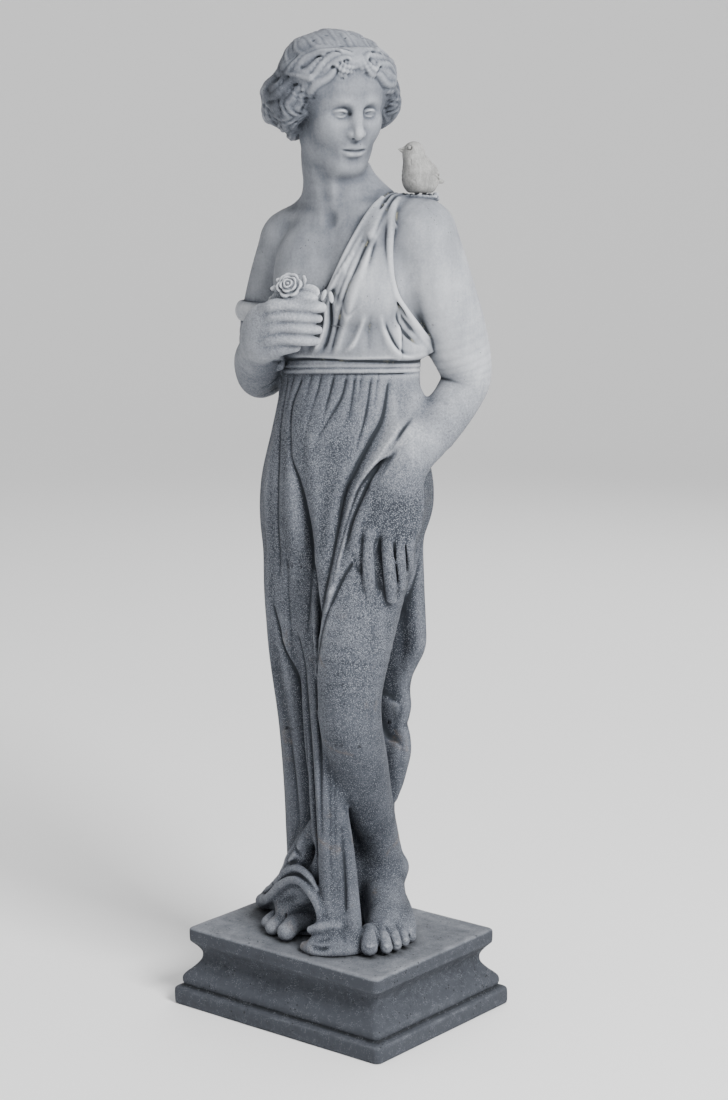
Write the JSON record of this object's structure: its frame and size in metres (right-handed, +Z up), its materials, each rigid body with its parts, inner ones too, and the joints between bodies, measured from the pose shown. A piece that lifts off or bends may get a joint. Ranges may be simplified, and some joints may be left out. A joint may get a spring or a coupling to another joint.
{
  "type": "resin garden statuette",
  "caption": "Standing draped woman in the classical manner, a posy in one hand and a small bird on her shoulder, on a moulded rectangular plinth.",
  "frame": {"origin": "centre of the plinth's underside", "axes": "+Z up; the plinth's wide face looks along -Y; the woman's left side is towards +X, and her hips are turned 12 degrees from -Y towards +X"},
  "size_m": [0.29, 0.234, 1.0493],
  "materials": {
    "dark_resin": "cast resin, dark slate wash, dusty",
    "washed_resin": "cast resin, stone-grey wash darkening downwards, speckled",
    "cream_resin": "cast resin, warm cream-grey wash"
  },
  "bodies": {
    "root": {"plinth": "dark_resin", "figure": "washed_resin", "bird": "cream_resin"}
  },
  "joints": []
}
